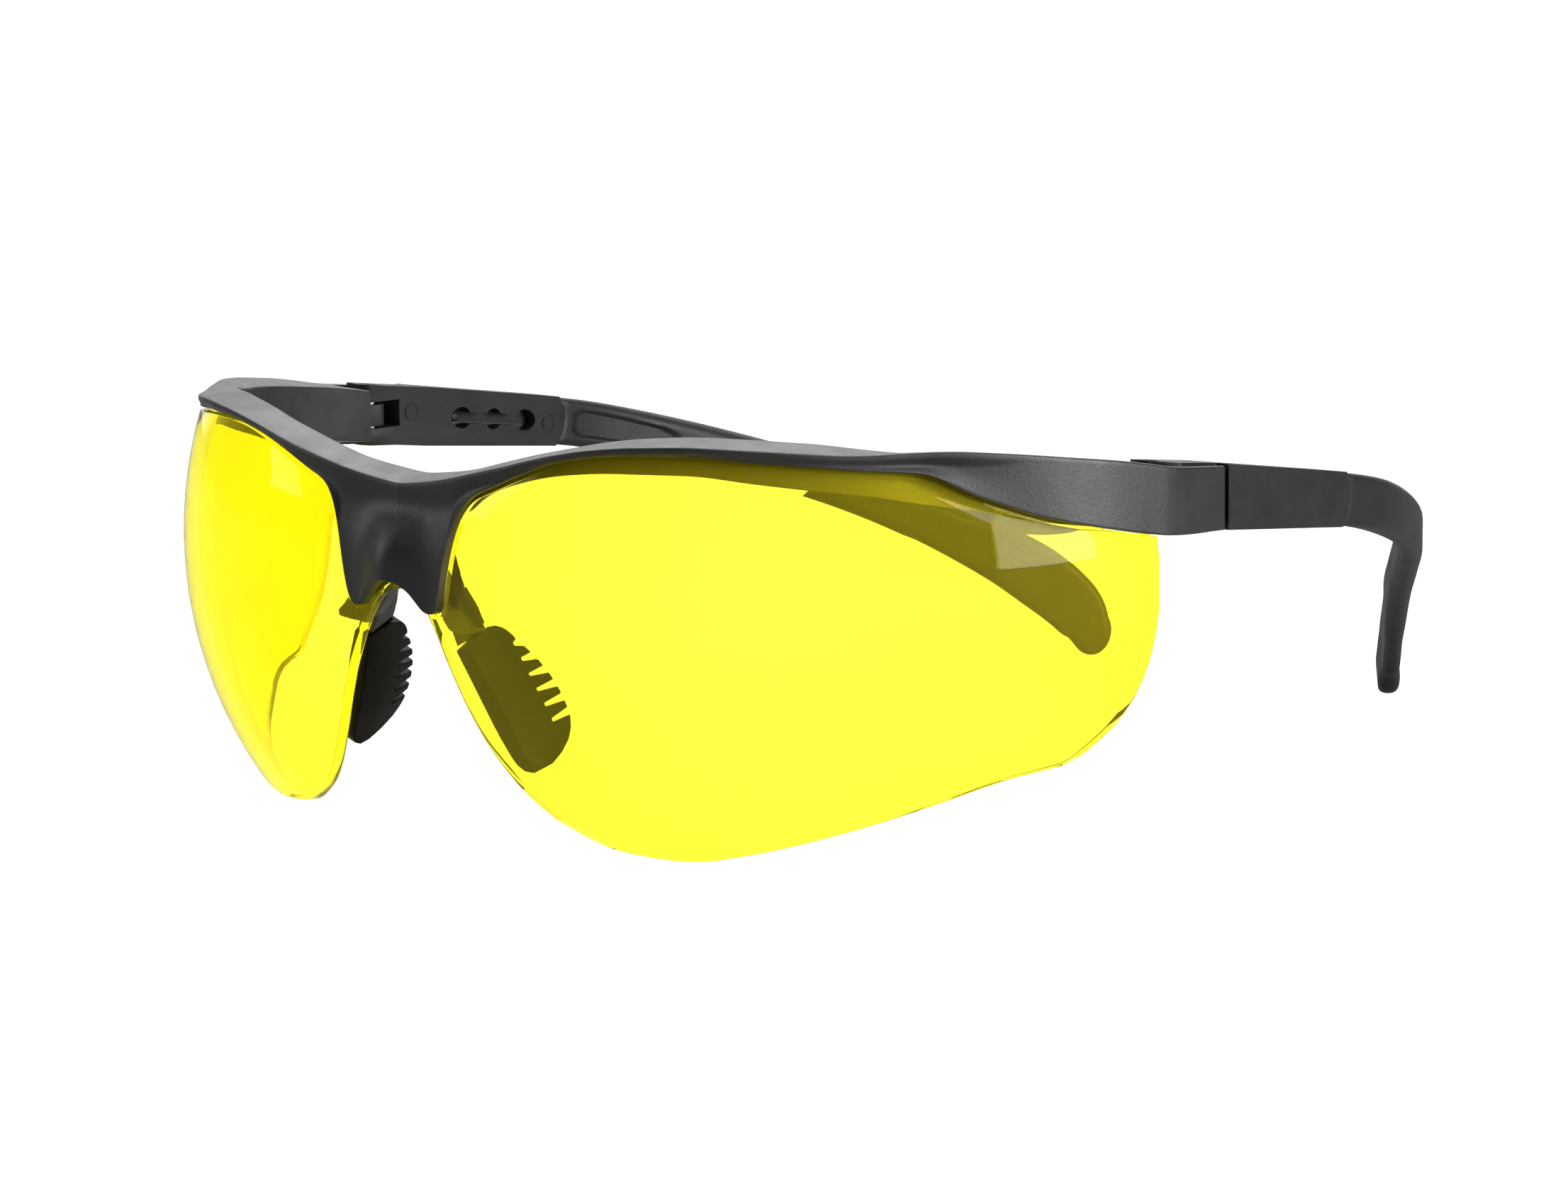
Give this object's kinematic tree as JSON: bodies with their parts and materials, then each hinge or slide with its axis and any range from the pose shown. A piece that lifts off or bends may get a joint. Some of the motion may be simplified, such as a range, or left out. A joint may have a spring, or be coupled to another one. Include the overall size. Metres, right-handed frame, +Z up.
{
  "type": "safety glasses",
  "caption": "Half-frame wrap safety glasses: one-piece yellow lens, black brow frame, soft nose pads, folding temples with sliding arms.",
  "frame": {"origin": "middle of the footprint on the surface the open glasses stand on", "axes": "+Z up, -Y the way the wearer looks, +X to the wearer's left; the temples run back along +Y"},
  "size_m": [0.1436, 0.1679, 0.0498],
  "materials": {
    "black_nylon": "fine-grained satin, charcoal black",
    "gloss_nylon": "glossy black",
    "black_rubber": "soft matte black",
    "yellow_lens": "clear yellow polycarbonate, polished",
    "pin_steel": "dark turned steel"
  },
  "bodies": {
    "front": {"frame_front": "black_nylon", "lens": "yellow_lens", "nose_bracket": "gloss_nylon", "nose_pad_left": "black_rubber", "nose_pad_right": "black_rubber"},
    "sleeve_left": {"temple_sleeve_left": "black_nylon", "hinge_pin_left": "pin_steel"},
    "sleeve_right": {"temple_sleeve_right": "black_nylon", "hinge_pin_right": "pin_steel"},
    "arm_left": {"temple_arm_left": "black_nylon"},
    "arm_right": {"temple_arm_right": "black_nylon"}
  },
  "joints": [
    {"name": "left_temple_fold", "type": "hinge", "parent": "front", "child": "sleeve_left", "pos_m": [0.06515, -0.02215, 0.041], "axis": [0, 0, 1], "range_deg": [0, 80]},
    {"name": "right_temple_fold", "type": "hinge", "parent": "front", "child": "sleeve_right", "pos_m": [-0.06515, -0.02215, 0.041], "axis": [0, 0, -1], "range_deg": [0, 68]},
    {"name": "left_arm_slide", "type": "slide", "parent": "sleeve_left", "child": "arm_left", "axis": [-0.0465, 0.9921, -0.1163], "range_m": [0, 0.0115]},
    {"name": "right_arm_slide", "type": "slide", "parent": "sleeve_right", "child": "arm_right", "axis": [0.0465, 0.9921, -0.1163], "range_m": [0, 0.0115]}
  ]
}
